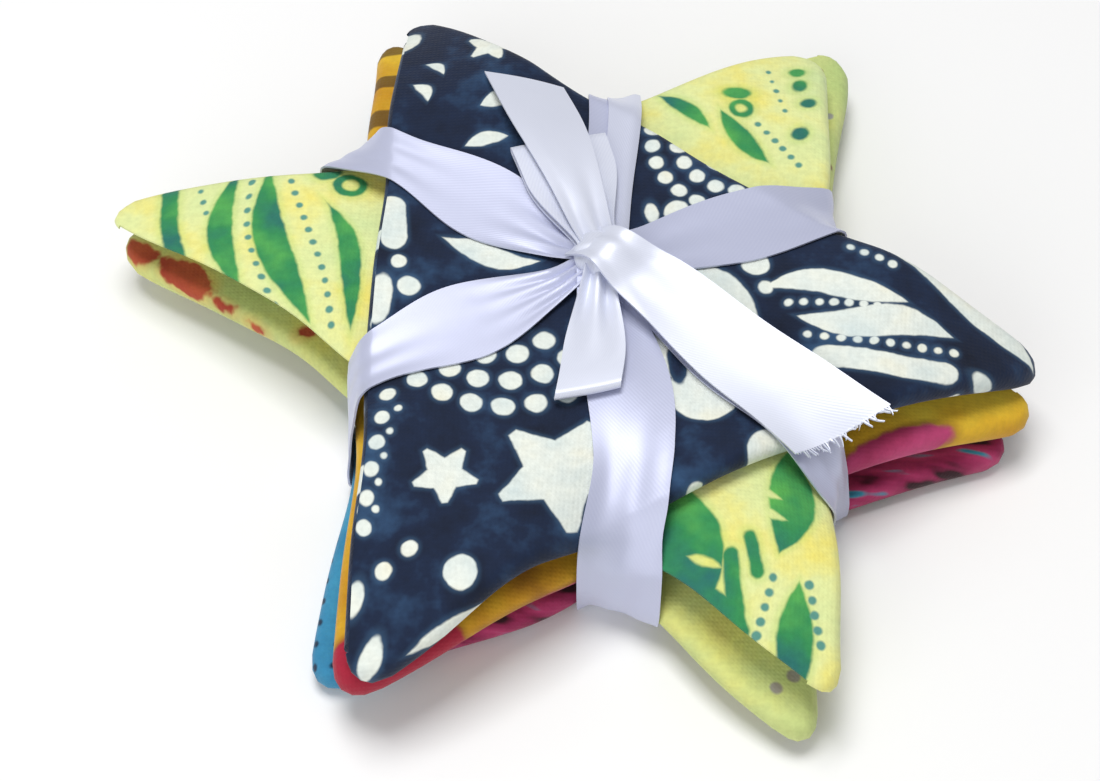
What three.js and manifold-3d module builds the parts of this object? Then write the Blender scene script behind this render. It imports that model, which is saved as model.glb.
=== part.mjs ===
// Batik fabric bundle. Five cloths, each folded lengthwise to a strip and rolled up into a flat
// triangular packet, lie turned against each other as a six-pointed star. One satin ribbon runs over
// the six valleys of the star, crosses under the stack and is tied in a small bow on top.
// Millimetres, +Z up. The origin is on the surface that the bundle lies on, under the star's middle.

import * as THREE from 'three';
import { mergeVertices } from 'three/addons/utils/BufferGeometryUtils.js';
import Module from 'manifold-3d';

const wasm = await Module();
wasm.setup();

// Cloth of the packets
const CLOTH = 1.1;          // thickness of one turn of the strip, its four plies pressed together
const TURN_GAP = 0.25;      // air between two turns where the ribbon presses the stack
const TURNS = 4;            // triangles that the strip is rolled into
const PITCH = CLOTH + TURN_GAP;
const PACKET = TURNS * CLOTH + (TURNS - 1) * TURN_GAP;
const PIECE_GAP = 0.35;     // between two packets, and between the packets and the ribbon
const TIP_BLUNT = 7;        // width of a packet's blunt tip
const MITRE_FROM = 2;       // edges that lie further back than this end short of the tips,
const MITRE = 2.2;          // by this share of the rest
const TUCK = 5;             // how far a raw edge inside the roll stays back from the folded edges
const FOLD_ROUND = 0.9;     // how far a folded edge bulges, as a share of half its height
const FOLD_LEAST = 0.75;    // bulge of the tightest fold

// Tips of the star, bent down over the edges of the packets below
const BEND_LEAST = 46;      // least distance from the middle where a tip begins to bend down
const BEND_SPAN = 30;       // width of a tip where it begins to bend
const BEND_CLEAR = 1.5;     // between that place and the edge below
const BEND_POWER = 1.5;
const TIP_PUFF = 0.3;       // extra air between the turns at a tip
const DRAWN_FROM = 0.3;     // share of a side from a tip to where it is drawn in by its full depth

// Satin ribbon
const RIBBON = 1;           // thickness of the ribbon's solid
const RIBBON_WIDTH = 16;
const KNOT = new THREE.Vector2(1, 7);
const KNOT_SIZE = { long: 11, wide: 9, high: 6.5 };
const KNOT_TURN = -35;      // direction of the knot's long way, degrees
const EDGE_ROUND = 2.2;     // rounding of the ribbon over the edges of the stack
const PINCH_LENGTH = 26;    // from the knot to where an arm or an end has its full width
const VALLEY_LENGTH = 44;   // from the knot to where an arm has its width down the valley
const STAND_OFF = PIECE_GAP + RIBBON / 2;
const SIDE_CLEAR = 0.7;     // more room at the folded edges that the ribbon runs down over

// Mesh fineness
const SIDE_STOPS = [0, 0.1, 0.2, 0.31, 0.5, 0.69, 0.8, 0.9, 1]; // along one side, close in the tips
const SIDE_STEPS = SIDE_STOPS.length - 1;
const FOLD_STEPS = 4;       // round a folded edge
const RINGS = [0.82, 0.69, 0.57]; // rings inside a packet's outline, as shares of its size
const TAIL_STEPS = 10;      // along a free end of the ribbon
const SIDE_LEVELS = 6;      // of the ribbon down the side of the stack
const LOOP_STOPS = [0, 0.35, 0.7, 1]; // along one run of a loop
const LOOP_TURNS = [45, 90, 135];     // round the bend of a loop, degrees
const KNOT_STEPS = 12;      // round the knot
const ACROSS = [-1, 0, 1];  // lines across the ribbon, from its right selvedge to its left one

// The packets from the bottom up. Each tip has its direction in degrees, its reach from the middle and
// its drop below the packet's middle. The first two tips lie at the ends of the side with the raw edge:
// flap is how far that edge of the top turn lies out, core the same for the folds under it. drawn is
// how far the ribbon draws in each side, first the one between the first two tips.
const PACKETS = [
  { name: 'packet_blue', colour: 0x4f9dbf, flap: -2, core: 0, drawn: [3, 2.2, 0],
    tips: [{ at: -8, reach: 70, drop: 1.2 }, { at: 121, reach: 76.5, drop: 1.2 },
           { at: 235.5, reach: 71, drop: 1.2 }] },
  { name: 'packet_lime', colour: 0xc4cf86, flap: -1, core: 0, drawn: [6.5, 2.5, 2.5],
    tips: [{ at: 59.5, reach: 84, drop: 3 }, { at: 165, reach: 86, drop: 3 },
           { at: 297.5, reach: 75, drop: 4.5 }] },
  { name: 'packet_gold', colour: 0xd0a02c, flap: -2, core: 0, drawn: [3, 0.8, 2.5],
    tips: [{ at: -5.5, reach: 73, drop: 5 }, { at: 121, reach: 79.5, drop: 5 },
           { at: 240.5, reach: 73, drop: 5 }] },
  { name: 'packet_green', colour: 0xdfe59c, flap: 0, core: -5, drawn: [0.5, 0, 6.5],
    tips: [{ at: 164.5, reach: 87, drop: 6 }, { at: 301, reach: 74, drop: 6.5 },
           { at: 60, reach: 74, drop: 6 }] },
  { name: 'packet_navy', colour: 0x1b2f4f, flap: -3, core: 0, drawn: [0, 3, 3],
    tips: [{ at: 118, reach: 76, drop: 9.2 }, { at: 242.5, reach: 74, drop: 9.2 },
           { at: 358, reach: 74, drop: 9.2 }] },
];
const TOP = RIBBON + PACKETS.length * (PACKET + PIECE_GAP);

// The ribbon's arms, from the knot out to the valleys: direction in degrees, full width, width down
// the valley and width where the arm is drawn together at the knot.
const ARMS = [
  { at: 148, width: 15, valley: 10.5, pinch: 5 },
  { at: 209, width: 16, valley: 10.5, pinch: 5 },
  { at: 275, width: 15, valley: 12.5, pinch: 9 },
  { at: 319, width: 14, valley: 10, pinch: 9 },
  { at: 23, width: 15.5, valley: 13, pinch: 11 },
  { at: 89, width: 9, valley: 9, pinch: 8 },
];

// The bow's free ends: direction, length of the left and of the right selvedge, width at the knot, and
// the heights above the packets at the knot, on the way and at the cut end.
const TAILS = [
  { at: 112, left: 47, right: 35, pinch: 6, rise: [3, 4.6, 1.2] },
  { at: -34, left: 54, right: 47, pinch: 10, rise: [6.6, 2.8, 2.2] },
];

// The bow's flattened loops: direction, length, width at the knot and at the bend, and the height of
// the lower run above the packets.
const LOOPS = [
  { at: 114, length: 27, pinch: 7, width: 16, rise: 2 },
  { at: 268, length: 27, pinch: 6, width: 12, rise: 2 },
];
const LOOP_HIGH = 1.9;      // between the middles of a loop's two runs
const LOOP_OPEN = 0.7;      // share of its length at which a loop has its full width

const radians = THREE.MathUtils.degToRad;
const { lerp, smoothstep } = THREE.MathUtils;
const polar = (at, reach) => new THREE.Vector2(Math.cos(radians(at)), Math.sin(radians(at)))
  .multiplyScalar(reach);

// Sheets

// A sheet is a list of points with the way its face looks there, and triangles between them.
function emptySheet() {
  return { points: [], looks: [], faces: [] };
}

function addPoint(sheet, point, look) {
  sheet.points.push(point);
  sheet.looks.push(look);
  return sheet.points.length - 1;
}

// Adds a triangle, turned so that it looks the way its points do.
function addFace(sheet, a, b, c) {
  const [pa, pb, pc] = [a, b, c].map((i) => sheet.points[i]);
  const across = pb.clone().sub(pa).cross(pc.clone().sub(pa));
  const look = sheet.looks[a].clone().add(sheet.looks[b]).add(sheet.looks[c]);
  sheet.faces.push(across.dot(look) > 0 ? [a, b, c] : [a, c, b]);
}

function addQuad(sheet, a, b, c, d) {
  addFace(sheet, a, b, c);
  addFace(sheet, a, c, d);
}

// Gives a sheet its thickness: a face on either side and a rim round its open edges.
function thicken(sheet, thickness) {
  const count = sheet.points.length;
  const side = (sign) => sheet.points.map(
    (point, i) => point.clone().addScaledVector(sheet.looks[i], sign * thickness / 2));
  const index = [];
  const edges = new Set();
  for (const [a, b, c] of sheet.faces) {
    index.push(a, b, c, c + count, b + count, a + count);
    [[a, b], [b, c], [c, a]].forEach(([from, to]) => edges.add(`${from},${to}`));
  }
  for (const edge of edges) {
    const [a, b] = edge.split(',').map(Number);
    if (!edges.has(`${b},${a}`)) index.push(b, a, a + count, b, a + count, b + count);
  }
  const geometry = new THREE.BufferGeometry().setFromPoints([...side(1), ...side(-1)]);
  geometry.setIndex(index);
  return geometry;
}

// Packets

// The three ideal corners of a packet, before their tips are made blunt.
function corners(packet) {
  const beyond = TIP_BLUNT * Math.cos(radians(30));
  return packet.tips.map((tip) => polar(tip.at, tip.reach + beyond));
}

// A point along a side, from 0 at its first blunt tip to 1 at its second, moved out by an offset. The
// ribbon draws the side in between its tips.
function sidePoint(packet, side, along, offset) {
  const ends = corners(packet);
  const [from, to] = [ends[side], ends[(side + 1) % 3]];
  const run = to.clone().sub(from);
  const out = new THREE.Vector2(run.y, -run.x).normalize();
  const clip = (TIP_BLUNT + MITRE * Math.max(0, -offset - MITRE_FROM)) / run.length();
  const [start, end] = [along, 1 - along].map((share) => smoothstep(share, 0, DRAWN_FROM));
  return from.clone().addScaledVector(run, lerp(clip, 1 - clip, along))
    .addScaledVector(out, offset - packet.drawn[side] * start * end);
}

// How far a packet reaches from a place in one direction, on a line that runs aside of the place.
function edgeReach(packet, place, at, line) {
  const ahead = polar(at, 1);
  const aside = polar(at + 90, 1);
  const outline = [0, 1, 2].flatMap((side) => SIDE_STOPS.map(
    (along) => sidePoint(packet, side, along, 0).sub(place)));
  const reaches = outline.map((to, i) => {
    const from = outline.at(i - 1).clone();
    const share = (line - from.dot(aside)) / (to.dot(aside) - from.dot(aside));
    return share >= 0 && share <= 1 ? from.lerp(to, share).dot(ahead) : 0;
  });
  return Math.max(...reaches);
}

// Where a tip begins to bend: beyond the edges that cross under it.
function bendStart(packet, tip) {
  const below = PACKETS.slice(0, PACKETS.indexOf(packet));
  const crossing = below.filter((other) => other.tips.every(
    (its) => polar(its.at, 1).dot(polar(tip.at, 1)) < Math.cos(radians(30))));
  const edges = crossing.flatMap((other) => [-1, 0, 1].map(
    (line) => edgeReach(other, new THREE.Vector2(), tip.at, line * BEND_SPAN / 2)));
  return Math.max(BEND_LEAST, ...edges.map((edge) => edge + BEND_CLEAR));
}

for (const packet of PACKETS) {
  packet.tips.forEach((tip) => { tip.bend = bendStart(packet, tip); });
}

// How far the bend of the tips has gone at a plan point: 0 in the middle, 1 at a tip.
function tipBend(packet, at) {
  return packet.tips.map((tip) => {
    const over = (at.dot(polar(tip.at, 1)) - tip.bend) / (tip.reach - tip.bend);
    return { drop: tip.drop, share: Math.max(0, over) ** BEND_POWER };
  });
}

// A point of the packet: a plan point at a height counted in turns from the lowest one.
function packetPoint(packet, bottom, at, turn) {
  const bends = tipBend(packet, at);
  const drop = bends.reduce((sum, bend) => sum + bend.drop * bend.share, 0);
  const puff = bends.reduce((sum, bend) => sum + TIP_PUFF * bend.share, 0);
  return new THREE.Vector3(at.x, at.y, bottom + CLOTH / 2 + turn * (PITCH + puff) - drop);
}

// The strip is rolled: each new triangle lies on the outside, over and under the roll in turn.
function turnHeight(triangle) {
  return TURNS / 2 + (triangle % 2 ? -(triangle + 1) / 2 : triangle / 2);
}

// How far the fold between a triangle and the next one bulges out.
function foldReach(fold) {
  const half = Math.abs(turnHeight(fold + 1) - turnHeight(fold)) / 2;
  return Math.max(FOLD_LEAST, FOLD_ROUND * half * PITCH);
}

// Where a triangle's edge lies on one side, counted outwards from the packet's outline.
function edgeOffset(packet, triangle, side) {
  const toNext = side === triangle % 3 && triangle < TURNS - 1;
  const toLast = triangle > 0 && side === (triangle - 1) % 3;
  if (!toNext && !toLast) return turnHeight(triangle) === TURNS - 1 ? packet.flap : -TUCK;
  const fold = toNext ? triangle : triangle - 1;
  return (side === 0 ? packet.core : 0) - foldReach(fold) - CLOTH / 2;
}

// One triangle of the roll: its outline, the rings inside it and its middle.
function addTriangle(sheet, packet, bottom, triangle) {
  const turn = turnHeight(triangle);
  const look = new THREE.Vector3(0, 0, turn >= TURNS / 2 ? 1 : -1);
  const middle = corners(packet).reduce((sum, corner) => sum.add(corner), new THREE.Vector2())
    .divideScalar(3);
  const ring = (share) => [0, 1, 2].flatMap((side) => {
    const offset = share === 1 ? edgeOffset(packet, triangle, side) : 0;
    return SIDE_STOPS.map((along) => {
      const at = middle.clone().lerp(sidePoint(packet, side, along, offset), share);
      return addPoint(sheet, packetPoint(packet, bottom, at, turn), look);
    });
  });
  const rings = [1, ...RINGS].map(ring);
  const centre = addPoint(sheet, packetPoint(packet, bottom, middle, turn), look);
  const inner = rings.at(-1);
  const next = (i) => (i + 1) % inner.length;
  for (let r = 1; r < rings.length; r += 1) {
    inner.forEach((_, i) => addQuad(sheet, rings[r - 1][i], rings[r - 1][next(i)],
      rings[r][next(i)], rings[r][i]));
  }
  inner.forEach((_, i) => addFace(sheet, inner[i], inner[next(i)], centre));
  return rings[0];
}

// The folded edge between a triangle and the next one, bent round all the turns between them.
function addFold(sheet, packet, bottom, fold, outlines) {
  const side = fold % 3;
  const [low, high] = [turnHeight(fold), turnHeight(fold + 1)].sort((a, b) => a - b);
  const order = turnHeight(fold) < turnHeight(fold + 1) ? [fold, fold + 1] : [fold + 1, fold];
  const [below, above] = order.map((triangle) => outlines[triangle]);
  const start = edgeOffset(packet, fold, side);
  const reach = foldReach(fold);
  const half = (high - low) / 2;
  const ends = corners(packet);
  const run = ends[(side + 1) % 3].clone().sub(ends[side]).normalize();
  const bands = SIDE_STOPS.map((along, i) => {
    const corner = side * SIDE_STOPS.length + i;
    const band = [below[corner]];
    for (let step = 1; step < FOLD_STEPS; step += 1) {
      const angle = Math.PI * (step / FOLD_STEPS - 0.5);
      const at = sidePoint(packet, side, along, start + reach * Math.cos(angle));
      const point = packetPoint(packet, bottom, at, low + half + half * Math.sin(angle));
      const out = half * PITCH * Math.cos(angle);
      const look = new THREE.Vector3(run.y * out, -run.x * out, reach * Math.sin(angle)).normalize();
      band.push(addPoint(sheet, point, look));
    }
    return [...band, above[corner]];
  });
  for (let i = 0; i < SIDE_STEPS; i += 1) {
    for (let step = 0; step < FOLD_STEPS; step += 1) {
      addQuad(sheet, bands[i][step], bands[i + 1][step], bands[i + 1][step + 1], bands[i][step + 1]);
    }
  }
}

// One cloth: its strip rolled up from the inside out, as one sheet.
function packetGeometry(packet, bottom) {
  const sheet = emptySheet();
  const outlines = Array.from({ length: TURNS }, (_, i) => addTriangle(sheet, packet, bottom, i));
  for (let fold = 0; fold < TURNS - 1; fold += 1) addFold(sheet, packet, bottom, fold, outlines);
  return thicken(sheet, CLOTH);
}

// Ribbon

// A ribbon that runs out from the knot in one direction. Each line of its width has its own path, a
// list of distances from the knot and heights; width gives the ribbon's width at each step.
function ribbonStrip(at, paths, width) {
  const sheet = emptySheet();
  const ahead = polar(at, 1);
  const aside = new THREE.Vector3(-ahead.y, ahead.x, 0);
  const lines = paths.map((path, line) => path.map((place, i) => {
    const from = path[Math.max(i - 1, 0)];
    const to = path[Math.min(i + 1, path.length - 1)];
    const slope = to.clone().sub(from).normalize();
    const look = new THREE.Vector3(-ahead.x * slope.y, -ahead.y * slope.y, slope.x);
    const point = new THREE.Vector3(KNOT.x + ahead.x * place.x, KNOT.y + ahead.y * place.x, place.y);
    return addPoint(sheet, point.addScaledVector(aside, ACROSS[line] * width(place) / 2), look);
  }));
  for (let line = 1; line < lines.length; line += 1) {
    for (let i = 1; i < lines[line].length; i += 1) {
      addQuad(sheet, lines[line - 1][i - 1], lines[line][i - 1], lines[line][i], lines[line - 1][i]);
    }
  }
  return thicken(sheet, RIBBON);
}

// Keeps the places that a taut ribbon touches on its way down the side of the stack.
function taut(places) {
  const kept = [];
  for (const place of places) {
    while (kept.length > 1) {
      const [before, last] = kept.slice(-2);
      const turn = last.clone().sub(before).cross(place.clone().sub(last));
      if (turn < 0) break;
      kept.pop();
    }
    kept.push(place);
  }
  return kept;
}

// Where a taut ribbon stands at a height, between the places that it touches.
function standAt(places, height) {
  const next = Math.max(1, places.findIndex((place) => place.y <= height));
  const [above, below] = [places[next - 1], places[next]];
  return lerp(above.x, below.x, (above.y - height) / (above.y - below.y));
}

// The path of one selvedge of an arm: from the knot over the edge of the stack, down its side and back
// under it.
function armPath(at, line) {
  const [high, low] = [TOP + STAND_OFF, RIBBON / 2];
  const touched = taut([...PACKETS].reverse().flatMap((packet, i) => {
    const out = edgeReach(packet, KNOT, at, line) + STAND_OFF + SIDE_CLEAR;
    const top = TOP - i * (PACKET + PIECE_GAP);
    return [new THREE.Vector2(out, i === 0 ? high : top),
            new THREE.Vector2(out, i === PACKETS.length - 1 ? low : top - PACKET)];
  }));
  const onTop = [0, 0.5, 1].map((share) => new THREE.Vector2(PINCH_LENGTH * share, high));
  const corner = (share, height, down) => new THREE.Vector2(
    standAt(touched, height) - EDGE_ROUND * share, height - down * EDGE_ROUND * (1 - share) ** 2);
  const [start, turn] = [1, 0.35];
  const side = Array.from({ length: SIDE_LEVELS + 1 }, (_, i) => {
    const height = lerp(high - EDGE_ROUND, low + EDGE_ROUND, i / SIDE_LEVELS);
    return new THREE.Vector2(standAt(touched, height), height);
  });
  return [...onTop, corner(start, high, 1), corner(turn, high, 1), ...side, corner(turn, low, -1),
          corner(start, low, -1), new THREE.Vector2(0, low)];
}

// One arm of the ribbon. Its middle runs straight across between the two selvedges.
function arm({ at, width, valley, pinch }) {
  const [right, left] = [-1, 1].map((line) => armPath(at, line * valley / 2));
  const middle = right.map((place, i) => place.clone().lerp(left[i], 0.5));
  const span = (place) => {
    if (place.y < TOP) return valley;
    if (place.x < PINCH_LENGTH) return lerp(pinch, width, place.x / PINCH_LENGTH);
    return lerp(width, valley, smoothstep(place.x, PINCH_LENGTH, VALLEY_LENGTH));
  };
  return ribbonStrip(at, [right, middle, left], span);
}

// One free end of the bow, cut slantwise.
function tail({ at, left, right, pinch, rise }) {
  const heights = new THREE.SplineCurve(rise.map((up, i) => new THREE.Vector2(i, TOP + up)));
  const paths = ACROSS.map((across) => {
    const length = lerp(right, left, (across + 1) / 2);
    return heights.getPoints(TAIL_STEPS).map(
      (place, i) => new THREE.Vector2(length * i / TAIL_STEPS, place.y));
  });
  return ribbonStrip(at, paths, (place) => lerp(pinch, RIBBON_WIDTH, Math.min(1, place.x / PINCH_LENGTH)));
}

// One flattened loop of the bow: out, round a small bend and back.
function loop({ at, length, pinch, width, rise }) {
  const low = TOP + rise;
  const bend = LOOP_HIGH / 2;
  const out = LOOP_STOPS.map((share) => new THREE.Vector2((length - bend) * share, low));
  const round = LOOP_TURNS.map((angle) => new THREE.Vector2(
    length - bend + bend * Math.sin(radians(angle)), low + bend * (1 - Math.cos(radians(angle)))));
  const back = out.map((place) => new THREE.Vector2(place.x, low + LOOP_HIGH)).reverse();
  const path = [...out, ...round, ...back];
  const span = (place) => lerp(pinch, width, Math.min(1, place.x / (length * LOOP_OPEN)));
  return ribbonStrip(at, ACROSS.map(() => path), span);
}

// The knot's body, under the ribbon end that is drawn over it.
function knot() {
  const body = new THREE.SphereGeometry(0.5, KNOT_STEPS, KNOT_STEPS);
  body.scale(KNOT_SIZE.long, KNOT_SIZE.wide, KNOT_SIZE.high).rotateZ(radians(KNOT_TURN));
  return body.translate(KNOT.x, KNOT.y, TOP + PIECE_GAP + KNOT_SIZE.high / 2);
}

function toSolid(geometry) {
  const bare = geometry.clone();
  bare.deleteAttribute('normal');
  bare.deleteAttribute('uv');
  const merged = mergeVertices(bare, 1e-4);
  return new wasm.Manifold(new wasm.Mesh({
    numProp: 3,
    vertProperties: new Float32Array(merged.attributes.position.array),
    triVerts: new Uint32Array(merged.index.array),
  }));
}

// The whole ribbon is one piece, so its arms, loops, ends and knot are joined.
function ribbonGeometry() {
  const pieces = [...ARMS.map(arm), ...TAILS.map(tail), ...LOOPS.map(loop), knot()];
  const { vertProperties, triVerts } = pieces.map(toSolid).reduce((all, one) => all.add(one)).getMesh();
  const geometry = new THREE.BufferGeometry();
  geometry.setAttribute('position', new THREE.BufferAttribute(new Float32Array(vertProperties), 3));
  geometry.setIndex(new THREE.BufferAttribute(new Uint32Array(triVerts), 1));
  return geometry;
}

// The bundle

function piece(name, geometry, colour, roughness) {
  geometry.computeVertexNormals();
  const mesh = new THREE.Mesh(geometry, new THREE.MeshStandardMaterial({ color: colour, roughness }));
  mesh.name = name;
  return mesh;
}

const bundle = new THREE.Group();
PACKETS.forEach((packet, i) => {
  const bottom = RIBBON + PIECE_GAP + i * (PACKET + PIECE_GAP);
  bundle.add(piece(packet.name, packetGeometry(packet, bottom), packet.colour, 0.9));
});
bundle.add(piece('ribbon', ribbonGeometry(), 0xe6e8f4, 0.4));

export default bundle;
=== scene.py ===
"""Batik fabric bundle: five cloths rolled into flat triangular packets, stacked as a six-pointed star
and tied with one satin ribbon. Lengths are worked out in millimetres, and MM turns them into metres
where a mesh, a light or the camera is made."""

import bpy
import numpy as np
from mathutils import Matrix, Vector


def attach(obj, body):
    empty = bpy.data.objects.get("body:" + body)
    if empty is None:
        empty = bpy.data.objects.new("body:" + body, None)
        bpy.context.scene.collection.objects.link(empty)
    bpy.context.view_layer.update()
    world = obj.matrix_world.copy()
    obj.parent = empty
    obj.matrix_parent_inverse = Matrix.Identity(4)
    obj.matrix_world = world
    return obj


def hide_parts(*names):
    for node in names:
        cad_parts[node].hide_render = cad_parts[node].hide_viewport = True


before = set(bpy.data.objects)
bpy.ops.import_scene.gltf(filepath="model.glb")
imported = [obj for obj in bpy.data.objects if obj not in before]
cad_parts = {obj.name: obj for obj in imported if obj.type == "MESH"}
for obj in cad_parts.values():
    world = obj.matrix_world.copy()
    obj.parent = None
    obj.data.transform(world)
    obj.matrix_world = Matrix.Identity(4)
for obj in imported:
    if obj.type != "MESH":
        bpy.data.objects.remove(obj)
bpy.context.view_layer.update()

MM = 0.001

# Cloth of the packets
CLOTH = 0.5               # one turn of the strip
TURNS = 8                 # triangles that the strip is rolled into
PACKET = 5.15             # a packet's height where the ribbon presses it
PITCH = (PACKET - CLOTH) / (TURNS - 1)
PIECE_GAP = 0.35
TIP_BLUNT = 7.0
TIP_BULGE = 1.2           # how far a blunt tip is rounded out
TIP_BACK = 2.0            # how far the inner turns stay back from a tip
MITRE_FROM = 2.0
MITRE = 2.2
TUCK = 4.5                # how far a raw edge inside the roll stays back
FOLD_ROUND = 0.8
RAW_REACH = 0.2           # how far a raw edge bulges where it runs into a tip
RAW_HALF = 0.25           # and half its height there, in turns
DRAWN_FROM = 0.3          # share of a side from a tip to where the ribbon draws it in by its full depth
TOP_TURN = TURNS - 2      # the triangle that lies on top of the roll

# Tips that bend down over the edges below them
BEND_LEAST = 46.0
BEND_SPAN = 30.0
BEND_CLEAR = 1.5
BEND_POWER = 1.5
TIP_PUFF = 0.9            # extra height of a packet at a tip

# Fineness of the packets
SIDE_STEPS = 110
TIP_STEPS = 4
FOLD_STEPS = 8
TOP_RINGS = 44
UNDER_RINGS = 6
INNER_RINGS = 3

# Satin ribbon
RIBBON = 0.35
RIBBON_WIDTH = 16.0
RIBBON_LOW = 1.0          # the height that the crossed bands take up under the stack
KNOT = np.array([1.0, 7.0])
EDGE_ROUND = 2.2
PINCH_LENGTH = 26.0
STAND_OFF = 0.45
FRAY = 0.3                # width of a loose thread
FRAY_WIDE = 7.8           # half the width of the end that they leave

# Packets from the bottom up: how far the raw edge on top and the folds of the first side lie from the
# outline, how far the ribbon draws each side in, and the tips by direction, distance and fall.
PACKETS = [
    dict(node="packet_blue", flap=-2.0, core=0.0, drawn=(3.0, 2.2, 0.0),
         tips=[(-8.0, 70.0, 1.2), (121.0, 76.5, 1.2), (235.5, 71.0, 1.2)]),
    dict(node="packet_lime", flap=-1.0, core=0.0, drawn=(6.5, 2.5, 2.5),
         tips=[(59.5, 84.0, 3.0), (165.0, 86.0, 3.0), (297.5, 75.0, 4.5)]),
    dict(node="packet_gold", flap=-2.0, core=0.0, drawn=(3.0, 0.8, 2.5),
         tips=[(-5.5, 73.0, 5.0), (121.0, 79.5, 5.0), (240.5, 73.0, 5.0)]),
    dict(node="packet_green", flap=0.0, core=-5.0, drawn=(0.5, 0.0, 6.5),
         tips=[(164.5, 87.0, 6.0), (301.0, 74.0, 6.5), (60.0, 74.0, 6.0)]),
    dict(node="packet_navy", flap=-0.9, core=0.0, drawn=(0.0, 3.0, 3.0),
         tips=[(118.0, 76.0, 9.2), (242.5, 74.0, 9.2), (358.0, 72.8, 9.2)]),
]
for place, packet in enumerate(PACKETS):
    packet["level"] = RIBBON_LOW + PIECE_GAP + place * (PACKET + PIECE_GAP)
TOP = RIBBON_LOW + len(PACKETS) * (PACKET + PIECE_GAP)

# Arms of the ribbon: direction, full width, width down the valley, width at the knot, how far an arm
# sways to its left on its way out, pleats at the knot, their height, height of the band under the
# stack, share of its height that the stack loses in the valley, how far the ribbon draws the valley in,
# and whether the arm is folded lengthwise.
ARM_VALUES = ("at", "width", "valley", "pinch", "sway", "pleats", "crest", "low", "press", "squeeze",
              "folded")
ARMS = [dict(zip(ARM_VALUES, values)) for values in [
    (148.0, 15.0, 10.5, 5.0, 0.0, 3.0, 1.0, 0.55, 0.05, 0.3, False),
    (209.0, 16.0, 10.5, 5.0, 0.0, 3.5, 1.1, 0.85, 0.10, 0.0, False),
    (275.0, 14.5, 12.5, 9.0, 3.2, 2.0, 0.5, 0.25, 0.22, 2.4, False),
    (319.0, 12.0, 10.0, 8.0, 0.0, 2.0, 0.2, 0.55, 0.15, 1.4, False),
    (23.0, 15.5, 13.0, 9.0, 0.0, 2.0, 0.5, 0.85, 0.08, 0.8, False),
    (89.0, 9.0, 9.0, 8.0, 0.0, 2.0, 0.0, 0.25, 0.04, 0.5, True),
]]
VALLEY_LENGTH = 44.0
GATHER = 0.25             # height of the gathers where an arm narrows into a valley
FOLD_LIFT = 0.75          # height of the upper part of a folded arm over its lower part
KNOT_RISE = 2.0           # how far the arms rise to the knot, and over what distance
KNOT_NEAR = 6.0
SWAY_OUT = (6.0, 34.0)    # where an arm's sway sets in
SWAY_BACK = (56.0, 36.0)  # and where it ends, counted inwards
KNOT_HALF = (5.2, 4.4, 2.9)  # half the length, width and height of the knot
KNOT_TURN = -35.0
KNOT_LEVEL = 3.4          # height of the knot's middle over the stack
TWO_LAYERS = 0.55         # how white a folded arm is painted, next to 0 at a single layer and 1 at the loops and ends; these tints carry painted shade and painted highlight

# Fineness of the ribbon
OVER_STEPS = 40
BEND_STEPS = 9
DOWN_STEPS = 26
BACK_STEPS = 12
TAIL_STEPS = 60
LOOP_STEPS = 90
KNOT_STEPS, KNOT_RINGS = 48, 24


def polar(at, reach):
    """A plan point from its direction in degrees and its distance."""
    turn = np.radians(at)
    return np.stack([np.cos(turn), np.sin(turn)], -1) * reach


def ways(at):
    """Plan directions ahead and to the left of a direction in degrees."""
    return polar(at, 1.0), polar(at + 90.0, 1.0)


def smooth(low, high, value):
    """0 at low, 1 at high, level at both."""
    share = np.clip((value - low) / (high - low), 0.0, 1.0)
    return share * share * (3.0 - 2.0 * share)


def mix(a, b, share):
    return a + (b - a) * share


# Outline of a packet

def corners(packet):
    beyond = TIP_BLUNT * np.cos(np.radians(30.0))
    return np.array([polar(at, reach + beyond) for at, reach, _ in packet["tips"]])


def side_frame(packet, side):
    """First corner, direction, length and outward direction of a side."""
    ends = corners(packet)
    run = ends[(side + 1) % 3] - ends[side]
    length = np.hypot(*run)
    run = run / length
    return ends[side], run, length, np.array([run[1], -run[0]])


def side_point(packet, side, along, offset, back=0.0):
    """Plan points along a side, moved out by an offset; back keeps them further from the tips."""
    start, run, length, out = side_frame(packet, side)
    along, offset = np.broadcast_arrays(np.asarray(along, float), np.asarray(offset, float))
    clip = TIP_BLUNT + back + MITRE * np.maximum(0.0, -offset - MITRE_FROM)
    travel = clip + along * (length - 2.0 * clip)
    ends = smooth(0.0, DRAWN_FROM, along) * smooth(0.0, DRAWN_FROM, 1.0 - along)
    inside = offset - packet["drawn"][side] * ends
    return start + travel[..., None] * run + inside[..., None] * out


def edge_reach(packet, place, at, line):
    """How far a packet reaches from a place in one direction, on a line aside of the place."""
    ahead, aside = ways(at)
    along = np.linspace(0.0, 1.0, 41)
    first = np.concatenate([side_point(packet, side, along, 0.0) for side in range(3)]) - place
    last = np.roll(first, -1, 0)
    before, after = first @ aside - line, last @ aside - line
    crosses = before * after < 0.0
    share = before[crosses] / (before[crosses] - after[crosses])
    return mix(first[crosses] @ ahead, last[crosses] @ ahead, share).max()


def bend_start(packet, at):
    """Where a tip begins to bend: beyond the edges that cross under it."""
    start = BEND_LEAST
    for other in PACKETS[:PACKETS.index(packet)]:
        turns = [polar(its, 1.0) @ polar(at, 1.0) for its, _, _ in other["tips"]]
        if max(turns) < np.cos(np.radians(30.0)):
            edges = [edge_reach(other, np.zeros(2), at, line * BEND_SPAN / 2) for line in (-1, 0, 1)]
            start = max(start, max(edges) + BEND_CLEAR)
    return start


for packet in PACKETS:
    packet["bends"] = [bend_start(packet, at) for at, _, _ in packet["tips"]]


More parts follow.
